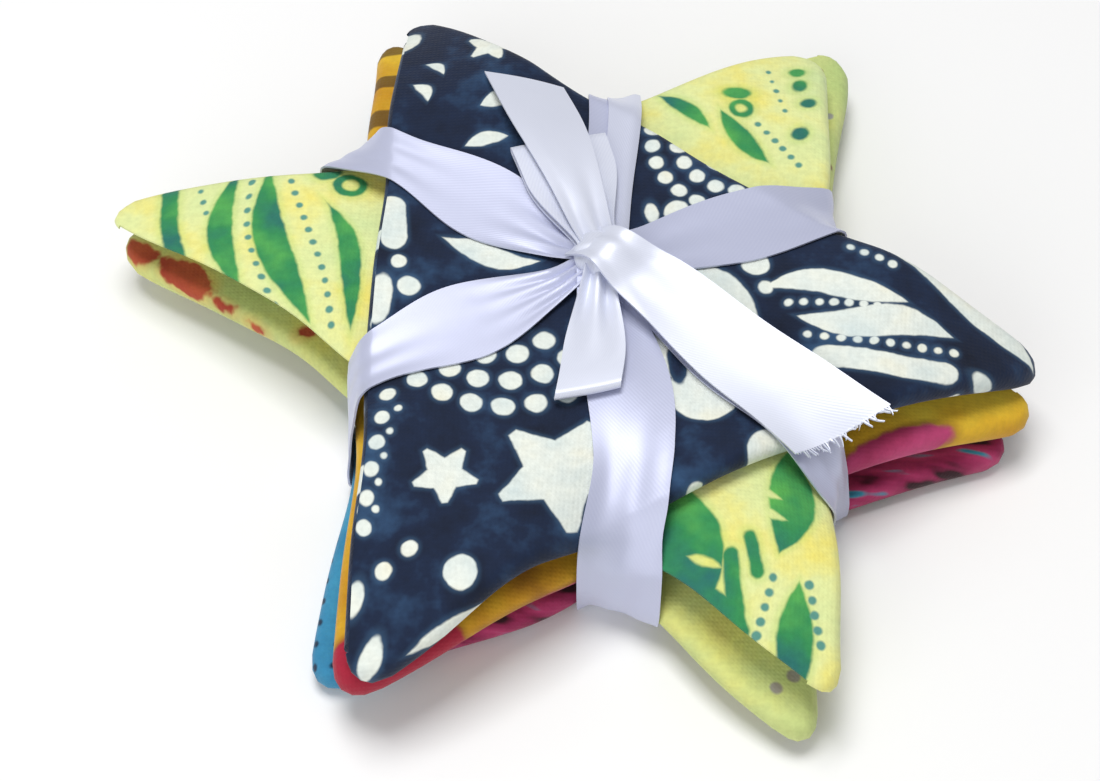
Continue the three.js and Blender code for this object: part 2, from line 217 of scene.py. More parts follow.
def height(packet, at, turn):
    """Height of plan points at a turn of the roll, with the tips bent down and puffed."""
    drop, puff = 0.0, 0.0
    for (way, reach, fall), start in zip(packet["tips"], packet["bends"]):
        share = np.maximum(0.0, (at @ polar(way, 1.0) - start) / (reach - start)) ** BEND_POWER
        drop = drop + fall * share
        puff = puff + TIP_PUFF / (TURNS - 1) * np.minimum(share, 1.2)
    return packet["level"] + CLOTH / 2 + turn * (PITCH + puff) - drop


# The roll

def turn_of(triangle):
    """Height of a triangle in the roll: each new one lies outside, over and under in turn."""
    return TURNS // 2 + (-(triangle + 1) // 2 if triangle % 2 else triangle // 2)


def side_of(fold):
    """Side on which a triangle is folded over to the next one."""
    return (fold + 2) % 3


def fold_reach(fold):
    return FOLD_ROUND * abs(turn_of(fold + 1) - turn_of(fold)) / 2 * PITCH


def fold_start(packet, side):
    """Where the folded edges of a side begin to bulge, counted from the outline."""
    most = max(fold_reach(fold) for fold in range(TURNS - 1) if side_of(fold) == side)
    return (packet["core"] if side == 0 else 0.0) - most - CLOTH / 2


def fold_length(fold):
    """Length of cloth round a folded edge."""
    half = abs(turn_of(fold + 1) - turn_of(fold)) / 2 * PITCH
    return np.pi * np.sqrt((half * half + fold_reach(fold) ** 2) / 2)


def edge_offset(packet, triangle, side):
    folds = [fold for fold in (triangle - 1, triangle) if 0 <= fold < TURNS - 1]
    if any(side_of(fold) == side for fold in folds):
        return fold_start(packet, side)
    return packet["flap"] if triangle == TOP_TURN else -TUCK


def unfold(packet, fold, at):
    """Plan points of the inner triangle at a fold, turned out beside the outer one."""
    side = side_of(fold)
    start, _, _, out = side_frame(packet, side)
    offset = (at - start) @ out
    shift = 2.0 * fold_start(packet, side) + fold_length(fold) - 2.0 * offset
    return at + shift[..., None] * out


def flat_of(packet, triangle, at):
    """Places on the flat strip, which lies on the plan at the top triangle."""
    if triangle > TOP_TURN:
        return unfold(packet, TOP_TURN, at)
    for fold in range(triangle, TOP_TURN):
        at = unfold(packet, fold, at)
    return at


# Sheets

class Sheet:
    """Points with the way the cloth looks there and their place on the flat cloth, and faces."""

    def __init__(self):
        self.points, self.looks, self.flats, self.quads, self.triangles = [], [], [], [], []
        self.count = 0

    def add(self, points, looks, flats):
        shape = points.shape[:-1]
        self.points.append(points.reshape(-1, 3))
        self.looks.append(np.broadcast_to(looks, points.shape).reshape(-1, 3))
        self.flats.append(np.pad(flats.reshape(-1, 2), [(0, 0), (0, 1)]))
        index = np.arange(self.count, self.count + int(np.prod(shape))).reshape(shape)
        self.count += index.size
        return index

    def grid(self, index, closed=False):
        """Quads between the rows and columns of an index table."""
        if closed:
            index = np.concatenate([index, index[:, :1]], 1)
        quads = np.stack([index[:-1, :-1], index[:-1, 1:], index[1:, 1:], index[1:, :-1]], -1)
        self.quads.append(quads.reshape(-1, 4))

    def fan(self, ring, centre):
        spokes = np.stack([ring, np.roll(ring, -1), np.full_like(ring, centre)], -1)
        self.triangles.append(spokes)

    def solid(self, thickness):
        """The sheet as it lies in the tied stack, made thick: points, places on the flat cloth, faces."""
        tables = (self.points, self.looks, self.flats, self.quads, self.triangles + [np.zeros((0, 3), int)])
        points, looks, flats, quads, triangles = (np.concatenate(table) for table in tables)
        quads, triangles = facing(points, looks, quads), facing(points, looks, triangles)
        solid, quads, triangles = thicken(warp(points), looks, quads, triangles, thickness)
        return solid, np.tile(flats, (2, 1)), quads, triangles


def facing(points, looks, faces):
    """Turns the faces that look against their points."""
    a, b, c = points[faces[:, 0]], points[faces[:, 1]], points[faces[:, -1]]
    across = np.cross(b - a, c - a)
    wrong = np.einsum("ij,ij->i", across, looks[faces].sum(1)) < 0.0
    turned = faces.copy()
    turned[wrong] = faces[wrong][:, ::-1]
    return turned


def thicken(points, looks, quads, triangles, thickness):
    """A face on either side of a sheet and a rim round its open edges."""
    count = len(points)
    solid = np.concatenate([points + looks * thickness / 2, points - looks * thickness / 2])
    loops = [faces[:, [i, (i + 1) % faces.shape[1]]] for faces in (quads, triangles)
             for i in range(faces.shape[1])]
    edges = np.concatenate(loops)
    key = edges[:, 0] * count + edges[:, 1]
    back = edges[:, 1] * count + edges[:, 0]
    a, b = edges[~np.isin(key, back)].T
    rim = np.stack([b, a, a + count, b + count], -1)
    quads = np.concatenate([quads, quads[:, ::-1] + count, rim])
    triangles = np.concatenate([triangles, triangles[:, ::-1] + count])
    return solid, quads, triangles


def make_object(name, points, quads, triangles, values):
    """A mesh object from arrays in millimetres, with named values at its points."""
    mesh = bpy.data.meshes.new(name)
    mesh.from_pydata((points * MM).tolist(), [], quads.tolist() + triangles.tolist())
    for key, table in values.items():
        kind = "FLOAT" if table.ndim == 1 else "FLOAT_VECTOR"
        field = "value" if table.ndim == 1 else "vector"
        mesh.attributes.new(key, kind, "POINT").data.foreach_set(field, table.astype("f4").ravel())
    mesh.shade_smooth()
    mesh.set_sharp_from_angle(angle=np.radians(50.0))
    piece = bpy.data.objects.new(name, mesh)
    bpy.context.collection.objects.link(piece)
    return piece


# How the tied ribbon deforms the stack

PRESS_MIDDLE = 0.03       # share of its height that the stack loses under the ribbon near the knot
PRESS_FROM = 22.0         # where the stack begins to slope towards a valley
PRESS_RUN = 27.0
PRESS_WIDE = 9.0
PRESS_NEAR = 10.0         # distance from the knot over which the press sets in
SQUEEZE_FROM, SQUEEZE_TO = 26.0, 46.0
WAVE_RATIO = 1.1          # waves in depth to those in width
WAVE_LEAN = (0.06, 0.05)  # how the waves shift with height
# Waves that make the stack uneven: phase across and away by the millimetre, start and size
WAVES = [(0.11, 0.05, 0.3, 0.35), (-0.07, 0.13, 1.7, 0.3), (0.19, -0.12, 4.1, 0.16),
         (0.05, 0.23, 2.6, 0.14)]


def warp(points):
    """Presses, draws in and unevens everything alike, so that nothing meets."""
    x, y, z = points.T
    press, inward = np.zeros_like(x), np.zeros((len(x), 2))
    for arm in ARMS:
        ahead, aside = ways(arm["at"])
        place = points[:, :2] - KNOT
        along, across = place @ ahead, place @ aside
        near = np.exp(-(across / PRESS_WIDE) ** 2) * (along > 0.0)
        slope = np.clip((along - PRESS_FROM) / PRESS_RUN, 0.0, 1.2) ** 2
        depth = mix(PRESS_MIDDLE, arm["press"], slope) * smooth(0.0, PRESS_NEAR, along)
        press = np.maximum(press, near * depth)
        squeeze = arm["squeeze"] * smooth(SQUEEZE_FROM, SQUEEZE_TO, along)
        inward -= (near * squeeze)[:, None] * ahead
    moved = points.copy()
    moved[:, :2] += inward
    for kx, ky, start, size in WAVES:
        phase = kx * x + ky * y + start
        moved[:, 0] += size * np.sin(phase + WAVE_LEAN[0] * z)
        moved[:, 1] += size * np.cos(phase * WAVE_RATIO - WAVE_LEAN[1] * z)
    moved[:, 2] = z * (1.0 - press)
    return moved


# Packets

def outline(packet, triangle):
    """Plan outline of a triangle of the roll, its tips rounded."""
    back = 0.0 if triangle == TOP_TURN else TIP_BACK
    along = np.linspace(0.0, 1.0, SIDE_STEPS + 1)
    sides = [side_point(packet, side, along, edge_offset(packet, triangle, side), back)
             for side in range(3)]
    parts = []
    for side in range(3):
        first, last = sides[side][-1], sides[(side + 1) % 3][0]
        share = np.linspace(0.0, 1.0, TIP_STEPS + 2)[1:-1, None]
        ahead = polar(packet["tips"][(side + 1) % 3][0], TIP_BULGE)
        parts += [sides[side], mix(first, last, share) + ahead * np.sin(np.pi * share)]
    return np.concatenate(parts)


def raise_points(packet, at, turn):
    return np.concatenate([at, height(packet, at, turn)[..., None]], -1)


def add_triangle(sheet, packet, triangle):
    """One triangle of the roll as rings from its outline to its middle."""
    turn = turn_of(triangle)
    look = np.array([0.0, 0.0, 1.0 if turn >= TURNS / 2 else -1.0])
    middle = corners(packet).mean(0)
    rings = {TOP_TURN: TOP_RINGS, TURNS - 1: UNDER_RINGS}.get(triangle, INNER_RINGS)
    shares = np.linspace(1.0, 0.0, rings + 1)[:-1]
    at = middle + (outline(packet, triangle) - middle) * shares[:, None, None]
    index = sheet.add(raise_points(packet, at, turn), look, flat_of(packet, triangle, at))
    centre = sheet.add(raise_points(packet, middle[None], turn), look,
                       flat_of(packet, triangle, middle[None]))
    sheet.grid(index, closed=True)
    sheet.fan(index[-1], centre[0])
    return index[0]


def add_fold(sheet, packet, fold, outlines):
    """The folded edge between two triangles, bent round all the turns between them."""
    side = side_of(fold)
    low, high = sorted([fold, fold + 1], key=turn_of)
    first = side * (SIDE_STEPS + 1 + TIP_STEPS)
    stations = np.arange(first, first + SIDE_STEPS + 1)
    start, reach = fold_start(packet, side), fold_reach(fold)
    half = (turn_of(high) - turn_of(low)) / 2
    angle = np.pi * (np.arange(1, FOLD_STEPS) / FOLD_STEPS - 0.5)[:, None]
    along = np.linspace(0.0, 1.0, SIDE_STEPS + 1)[None]
    backs = [0.0 if triangle == TOP_TURN else TIP_BACK for triangle in (low, high)]
    share = 0.5 + 0.5 * np.sin(angle)
    at = mix(side_point(packet, side, along, start + reach * np.cos(angle), backs[0]),
             side_point(packet, side, along, start + reach * np.cos(angle), backs[1]),
             share[..., None])
    turn = turn_of(low) + half * (1.0 + np.sin(angle))
    points = np.concatenate([at, height(packet, at, turn)[..., None]], -1)
    out = side_frame(packet, side)[3]
    flank, rise = half * PITCH * np.cos(angle), reach * np.sin(angle)
    looks = np.stack(np.broadcast_arrays(flank * out[0], flank * out[1], rise, along)[:3], -1)
    looks = looks / np.linalg.norm(looks, axis=-1, keepdims=True)
    outer = min(fold + 1, TOP_TURN)
    travel = fold_length(fold) * (0.5 - angle / np.pi if outer == high else 0.5 + angle / np.pi)
    flats = flat_of(packet, outer, side_point(packet, side, along, start, 0.0)
                    + (travel + 0.0 * along)[..., None] * out)
    bands = sheet.add(points, looks, flats)
    sheet.grid(np.concatenate([outlines[low][None, stations], bands, outlines[high][None, stations]]))
    return bands


def fold_on(triangle, side):
    """The fold of a triangle on one side, if that side has one."""
    folds = [fold for fold in (triangle - 1, triangle) if 0 <= fold < TURNS - 1 and side_of(fold) == side]
    return folds[0] if folds else None


def add_tip(sheet, packet, triangle, tip, edge, bands):
    """A triangle's cloth drawn down round one tip, between the edges on either side of it."""
    step = SIDE_STEPS + 1 + TIP_STEPS
    before = (tip + 2) % 3
    chain = np.arange(before * step + SIDE_STEPS, before * step + step + 1) % (3 * step)
    folds = [fold_on(triangle, side) for side in (before, tip)]
    reach = [RAW_REACH if fold is None else fold_reach(fold) for fold in folds]
    half = [RAW_HALF if fold is None else abs(turn_of(fold + 1) - turn_of(fold)) / 2 for fold in folds]
    share = np.linspace(0.0, 1.0, len(chain))[None]
    angle = np.pi * np.arange(1, FOLD_STEPS)[:, None] / FOLD_STEPS
    outs = [side_frame(packet, side)[3] for side in (before, tip)]
    fan = mix(outs[0], outs[1], share[..., None])
    fan = fan / np.linalg.norm(fan, axis=-1, keepdims=True)
    start = np.concatenate(sheet.points)[edge[chain]][None, :, :2]
    at = start + (mix(reach[0], reach[1], share) * np.sin(angle))[..., None] * fan
    halves = mix(half[0], half[1], smooth(0.0, 1.0, share))
    turn = turn_of(triangle) - halves * (1.0 - np.cos(angle))
    points = np.concatenate([at, height(packet, at, turn)[..., None]], -1)
    looks = np.concatenate([np.sin(angle)[..., None] * fan, (np.cos(angle) + 0.0 * share)[..., None]], -1)
    flats = flat_of(packet, triangle, start + (halves * PITCH * angle)[..., None] * fan)
    table = sheet.add(points, looks, flats)
    if folds[0] is not None:
        table[:, 0] = bands[folds[0]][::-1, -1]
    if folds[1] is not None:
        table[:, -1] = bands[folds[1]][::-1, 0]
    sheet.grid(np.concatenate([edge[chain][None], table]))


def build_packet(packet):
    """One cloth, rolled up from the inside out."""
    sheet = Sheet()
    outlines = [add_triangle(sheet, packet, triangle) for triangle in range(TURNS)]
    bands = [add_fold(sheet, packet, fold, outlines) for fold in range(TURNS - 1)]
    for triangle in (TOP_TURN, TOP_TURN - 2):
        for tip in range(3):
            add_tip(sheet, packet, triangle, tip, outlines[triangle], bands)
    solid, flats, quads, triangles = sheet.solid(CLOTH)
    return make_object(packet["node"] + "_cloth", solid, quads, triangles, {"flat": flats})


# Ribbon

def taut(places):
    """The places that a taut ribbon touches on its way down the side of the stack."""
    kept = []
    for place in places:
        while len(kept) > 1:
            before, last = kept[-2], kept[-1]
            way, on = last - before, place - last
            if way[0] * on[1] - way[1] * on[0] < 0.0:
                break
            kept.pop()
        kept.append(place)
    return np.array(kept)


def arm_path(arm, line):
    """Distances from the knot and heights of one selvedge: over the edge, down and back under."""
    high, low = TOP + STAND_OFF, arm["low"]
    places = []
    for place, packet in enumerate(reversed(PACKETS)):
        out = edge_reach(packet, KNOT, arm["at"], line) + STAND_OFF
        top = TOP - place * (PACKET + PIECE_GAP)
        places += [np.array([out, high if place == 0 else top]),
                   np.array([out, low if place == len(PACKETS) - 1 else top - PACKET])]
    touched = taut(places)

    def stand(level):
        return np.interp(-level, -touched[:, 1], touched[:, 0])

    angle = np.linspace(0.0, np.pi / 2, BEND_STEPS)
    level = high - EDGE_ROUND * (1.0 - np.cos(angle))
    over = np.stack([stand(level) - EDGE_ROUND * (1.0 - np.sin(angle)), level], -1)
    level = np.linspace(high - EDGE_ROUND, low + EDGE_ROUND, DOWN_STEPS)[1:-1]
    side = np.stack([stand(level), level], -1)
    level = low + EDGE_ROUND * (1.0 - np.sin(angle))
    under = np.stack([stand(level) - EDGE_ROUND * (1.0 - np.cos(angle)), level], -1)
    run = np.linspace(0.0, 1.0, OVER_STEPS)[:-1, None]
    start, end = np.array([0.0, high]), np.array([0.0, low])
    way = np.concatenate([mix(start, over[0], run), over, side, under,
                          mix(under[-1], end, np.linspace(0.0, 1.0, BACK_STEPS)[1:, None])])
    inner = np.arange(OVER_STEPS + 2, len(way) - BACK_STEPS - 2)
    for _ in range(2):
        way[inner] = (way[inner - 1] + 2.0 * way[inner] + way[inner + 1]) / 4.0
    return way


def from_knot(at, out, aside, up):
    """Points at distances from the knot in one direction and to its left, and at heights."""
    ahead, left = ways(at)
    out, aside, up = (value[..., None] for value in np.broadcast_arrays(out, aside, up))
    return np.concatenate([KNOT + out * ahead + aside * left, up], -1)


def grid_looks(points):
    """The way a grid of points looks, from its rows and columns."""
    looks = np.cross(np.gradient(points, axis=1), np.gradient(points, axis=0))
    return looks / np.linalg.norm(looks, axis=-1, keepdims=True)


class Ribbon:
    """Strips of ribbon gathered into one mesh."""

    def __init__(self):
        self.points, self.flats, self.layers, self.quads, self.triangles = [], [], [], [], []
        self.count = 0

    def add(self, points, flats, layers, quads, triangles):
        self.points.append(points)
        self.flats.append(flats)
        self.layers.append(layers)
        self.quads.append(quads + self.count)
        self.triangles.append(triangles + self.count)
        self.count += len(points)

    def strip(self, points, across, layers):
        """A thin strip from a grid of points, rows along it and columns across."""
        looks = grid_looks(points)
        sheet = Sheet()
        step = np.linalg.norm(np.diff(points.mean(1), axis=0), axis=-1)
        along = np.concatenate([[0.0], np.cumsum(step)])
        flats = np.stack(np.broadcast_arrays(across[None], along[:, None]), -1)
        sheet.grid(sheet.add(points, looks, flats))
        solid, flats, quads, triangles = sheet.solid(RIBBON)
        layers = np.broadcast_to(layers, points.shape[:2]).ravel()
        self.add(solid, flats, np.tile(layers, 2), quads, triangles)

    def build(self, name):
        flats = np.concatenate(self.flats)
        piece = make_object(name, np.concatenate(self.points), np.concatenate(self.quads),
                            np.concatenate(self.triangles),
                            {"flat": flats, "layers": np.concatenate(self.layers)})
        corner = np.zeros(len(piece.data.loops), int)
        piece.data.loops.foreach_get("vertex_index", corner)
        piece.data.uv_layers.new(name="threads").data.foreach_set("uv", flats[corner, :2].ravel())
        return piece


ACROSS = np.linspace(-1.0, 1.0, 25)


def fold_section(u):
    """A ribbon folded over along its length: its lower part, a bend at its left, its upper part."""
    wide = np.where(u < 0.25, mix(1.0, -1.0, (u + 1.0) / 1.25), mix(-1.0, 0.25, (u - 0.25) / 0.75))
    lift = FOLD_LIFT * smooth(0.15, 0.4, u)
    return wide, lift


def add_arm(ribbon, arm):
    """One arm, drawn together in pleats at the knot and gathered into its valley."""
    right, left = (arm_path(arm, line * arm["valley"] / 2) for line in (-1.0, 1.0))
    wide, lift = fold_section(ACROSS) if arm["folded"] else (ACROSS, np.zeros_like(ACROSS))
    way = mix(right[:, None], left[:, None], (wide[None, :, None] + 1.0) / 2)
    on_top = smooth(TOP - 4.0, TOP, way[..., 1])
    near = (1.0 - smooth(2.0, PINCH_LENGTH, way[..., 0])) * on_top
    far = 1.0 - on_top * (1.0 - smooth(PINCH_LENGTH, VALLEY_LENGTH, way[..., 0]))
    span = mix(mix(arm["width"], arm["pinch"], near), arm["valley"], far) / 2
    pleat = arm["crest"] * near * (0.5 + 0.5 * np.cos(np.pi * arm["pleats"] * (ACROSS[None] + 0.2)))
    gather = GATHER * far * (0.5 - 0.5 * np.cos(2.5 * np.pi * ACROSS[None] + arm["at"]))
    rise = KNOT_RISE * np.exp(-(way[..., 0] / KNOT_NEAR) ** 2) * on_top
    low = smooth(0.0, 3.0, way[..., 1])
    out = way[..., 0] + (lift[None] + gather) * (1.0 - on_top) * low
    up = way[..., 1] + pleat + rise + (lift[None] + gather) * on_top
    sway = arm["sway"] * on_top * smooth(*SWAY_OUT, way[..., 0]) * smooth(*SWAY_BACK, way[..., 0])
    # painted light: a single layer gets the greyer tint, partly for dark cloth showing through and partly as
    # painted shade
    layers = np.where(lift > 0.0, TWO_LAYERS, 0.0)
    ribbon.strip(from_knot(arm["at"], out, span * wide[None] + sway, up), ACROSS * RIBBON_WIDTH / 2, layers)


def spline(stops, values, at):
    """Smooth values between stops, with the slopes that the values have there."""
    stops, values = np.asarray(stops, float), np.asarray(values, float)
    place = np.clip(np.searchsorted(stops, at, "right") - 1, 0, len(stops) - 2)
    share = (at - stops[place]) / (stops[place + 1] - stops[place])
    slope = np.gradient(values, stops)
    width = stops[place + 1] - stops[place]
    a, b = values[place], values[place + 1]
    return (a * (1 + 2 * share) * (1 - share) ** 2 + slope[place] * width * share * (1 - share) ** 2
            + b * share ** 2 * (3 - 2 * share) - slope[place + 1] * width * share ** 2 * (1 - share))


def add_tail(ribbon, at, left, right, stops, rises, widths, pleat):
    """A free end: heights and widths at stops along it, pleated at the knot."""
    share = np.linspace(0.0, 1.0, TAIL_STEPS)[:, None]
    length = mix(right, left, (ACROSS[None] + 1.0) / 2)
    first = stops[0]
    out = first + (length - first) * share
    mean = first + (0.5 * (left + right) - first) * share[:, 0]
    rise, wide = spline(stops, rises, mean), spline(stops, widths, mean)
    near = np.exp(-(np.maximum(out, 0.0) / 12.0) ** 2)
    lift = pleat * near * np.cos(2.0 * np.pi * ACROSS[None])
    points = from_knot(at, out, wide[:, None] / 2 * ACROSS[None], TOP + rise[:, None] + lift)
    # painted light: a free end gets the whitest tint as a painted highlight where it faces up to the lamp
    ribbon.strip(points, ACROSS * RIBBON_WIDTH / 2, 1.0)


def add_loop(ribbon, at, length, slant, pinch, width, low, high, pleat):
    """A flattened loop: out, round a small slanting bend and back to the knot."""
    turn = np.linspace(0.0, 1.0, LOOP_STEPS)[:, None]
    out = (length + slant * ACROSS[None]) * np.sin(np.pi * turn) ** 0.6
    rise = mix(low, high, smooth(0.38, 0.62, turn)) + 1.2 * np.exp(-(out / 7.0) ** 2)
    wide = mix(pinch, width, smooth(2.0, 0.75 * length, out)) / 2
    near = 1.0 - smooth(3.0, 0.8 * length, out)
    lift = pleat * near * np.cos(2.0 * np.pi * ACROSS[None] + 0.4)
    points = from_knot(at, out, wide * ACROSS[None], TOP + rise + lift)
    # a loop is two layers and gets the whitest tint, which also carries a painted highlight where it faces up
    # to the lamp
    ribbon.strip(points, ACROSS * RIBBON_WIDTH / 2, 1.0)


def add_fray(ribbon, at, left, right, rise, count):
    """Loose threads at the cut of a free end."""
    draw = np.random.default_rng(11)
    share = np.linspace(0.0, 1.0, 5)[:, None]
    for start in np.linspace(-1.0, 1.0, count):
        length, lean, curl = draw.uniform(0.6, 2.4), draw.uniform(-0.9, 0.9), draw.uniform(-0.3, 0.5)
        out = mix(right, left, (start + 1.0) / 2) - 0.4 + length * share
        thread = FRAY * np.array([[-0.5, 0.5]]) * (1.0 - 0.6 * share)
        aside = FRAY_WIDE * start + lean * share ** 2 + thread
        points = from_knot(at, out, aside, TOP + rise + curl * share ** 2)
        ribbon.strip(points, FRAY * np.array([-0.5, 0.5]), 1.0)


def add_knot(ribbon):
    """The knot's body: a drawn-together lump with pleats."""
    steps, rings = KNOT_STEPS, KNOT_RINGS
    long, wide, high = KNOT_HALF
    around = np.linspace(0.0, 2.0 * np.pi, steps, endpoint=False)[None]
    down = np.linspace(0.0, np.pi, rings + 2)[1:-1, None]
    swell = 1.0 + 0.05 * np.sin(5.0 * around + 2.0 * np.cos(down)) + 0.03 * np.sin(9.0 * around)
    u, v = long * swell * np.sin(down) * np.cos(around), wide * swell * np.sin(down) * np.sin(around)
    points = from_knot(KNOT_TURN, u, v, TOP + KNOT_LEVEL + high * np.cos(down)).reshape(-1, 3)
    caps = np.array([[*KNOT, TOP + KNOT_LEVEL + high], [*KNOT, TOP + KNOT_LEVEL - high]])
    index = np.arange(rings * steps).reshape(rings, steps)
    closed = np.concatenate([index, index[:, :1]], 1)
    quads = np.stack([closed[:-1, :-1], closed[1:, :-1], closed[1:, 1:], closed[:-1, 1:]], -1).reshape(-1, 4)
    top = np.stack([index[0], np.roll(index[0], -1), np.full(steps, rings * steps)], -1)
    low = np.stack([np.roll(index[-1], -1), index[-1], np.full(steps, rings * steps + 1)], -1)
    points = warp(np.concatenate([points, caps]))
    flats = np.pad(points[:, :2] - KNOT, [(0, 0), (0, 1)])
    # painted light: the knot gets the whitest tint as a painted highlight
    ribbon.add(points, flats, np.ones(len(points)), quads, np.concatenate([top, low]))


def build_ribbon():
    ribbon = Ribbon()
    for arm in ARMS:
        add_arm(ribbon, arm)
    add_loop(ribbon, at=110.0, length=27.0, slant=0.6, pinch=7.0, width=17.0, low=1.6, high=3.0, pleat=0.4)
    add_loop(ribbon, at=265.0, length=26.5, slant=-2.0, pinch=5.0, width=10.0, low=1.4, high=2.8, pleat=0.8)
    add_tail(ribbon, at=111.5, left=47.0, right=38.5, stops=[0.0, 12.0, 27.0, 42.0],
             rises=[4.2, 4.6, 4.4, 1.6], widths=[5.0, 8.5, 11.5, 12.5], pleat=0.6)
    frayed = dict(at=-37.5, left=54.0, right=48.5)
    add_tail(ribbon, **frayed, stops=[-5.5, 0.0, 8.0, 22.0, 38.0, 51.0], rises=[2.4, 6.8, 5.6, 3.0, 2.0, 1.6],
             widths=[7.0, 8.5, 11.5, 15.0, 16.0, 16.5], pleat=0.25)
    add_fray(ribbon, **frayed, rise=1.6, count=34)
    add_knot(ribbon)
    return ribbon.build("ribbon_satin")


# Materials

class Look:
    """A node material and short ways to add and join its nodes."""

    def __init__(self, name):
        self.material = bpy.data.materials.new(name)
        self.material.use_nodes = True
        self.tree = self.material.node_tree
        self.shader = self.tree.nodes["Principled BSDF"]

    def node(self, kind, sockets=None, **settings):
        made = self.tree.nodes.new(kind)
        for key, value in settings.items():
            setattr(made, key, value)
        self.fill(made, sockets or {})
        return made

    def fill(self, made, sockets):
        """Joins or sets a node's inputs."""
        for key, value in sockets.items():
            self.put(made.inputs[key], value)

    def put(self, socket, value):
        if isinstance(value, bpy.types.NodeSocket):
            self.tree.links.new(value, socket)
        else:
            socket.default_value = value

    def read(self, name, output="Fac"):
        return self.node("ShaderNodeAttribute", attribute_name=name).outputs[output]

    def math(self, operation, *values):
        return self.node("ShaderNodeMath", dict(enumerate(values)), operation=operation).outputs[0]

    def clamp(self, value, low, high):
        return self.node("ShaderNodeClamp", {"Value": value, "Min": low, "Max": high}).outputs["Result"]

    def split(self, vector):
        made = self.node("ShaderNodeSeparateXYZ", {"Vector": vector})
        return made.outputs["X"], made.outputs["Y"]

    def length(self, vector):
        return self.node("ShaderNodeVectorMath", {0: vector}, operation="LENGTH").outputs["Value"]

    def span(self, x, y):
        """Length of a place given by its two parts."""
        return self.length(self.node("ShaderNodeCombineXYZ", {"X": x, "Y": y}).outputs["Vector"])

    def noise(self, place, scale, detail=3.0, rough=0.5):
        sockets = {"Vector": place, "Scale": scale, "Detail": detail, "Roughness": rough}
        return self.node("ShaderNodeTexNoise", sockets).outputs["Fac"]

    def ramp(self, value, stops):
        """Colours between stops."""
        made = self.node("ShaderNodeValToRGB", {"Fac": value})
        band = made.color_ramp
        while len(band.elements) < len(stops):
            band.elements.new(0.5)
        for element, (place, colour) in zip(band.elements, stops):
            element.position = place
            element.color = (*colour, 1.0)
        return made.outputs["Color"]

    def between(self, value, low, high):
        """0 below low, 1 above high."""
        sockets = {"Value": value, "From Min": low, "From Max": high}
        return self.node("ShaderNodeMapRange", sockets, interpolation_type="SMOOTHSTEP").outputs["Result"]

    def blend(self, share, a, b):
        made = self.node("ShaderNodeMix", data_type="RGBA")
        self.put(made.inputs[0], share)
        self.put(made.inputs[6], a if isinstance(a, bpy.types.NodeSocket) else (*a, 1.0))
        self.put(made.inputs[7], b if isinstance(b, bpy.types.NodeSocket) else (*b, 1.0))
        return made.outputs[2]

    def bump(self, value, strength, distance, normal=None):
        sockets = {"Height": value, "Strength": strength, "Distance": distance}
        if normal is not None:
            sockets["Normal"] = normal
        return self.node("ShaderNodeBump", sockets).outputs["Normal"]

    def wave(self, place, scale, direction, distortion=0.0):
        sockets = {"Vector": place, "Scale": scale, "Distortion": distortion, "Detail": 1.0}
        return self.node("ShaderNodeTexWave", sockets, bands_direction=direction).outputs["Fac"]


def srgb(red, green, blue):
    """A colour given as the eye sees it, 0 to 255."""
    value = np.array([red, green, blue]) / 255.0
    return tuple(np.where(value <= 0.04045, value / 12.92, ((value + 0.055) / 1.055) ** 2.4))


# Prints

STAR_SHARP = 1.16         # where a star's edges would meet, in shares of its radius
STAR_NOTCH = 0.56


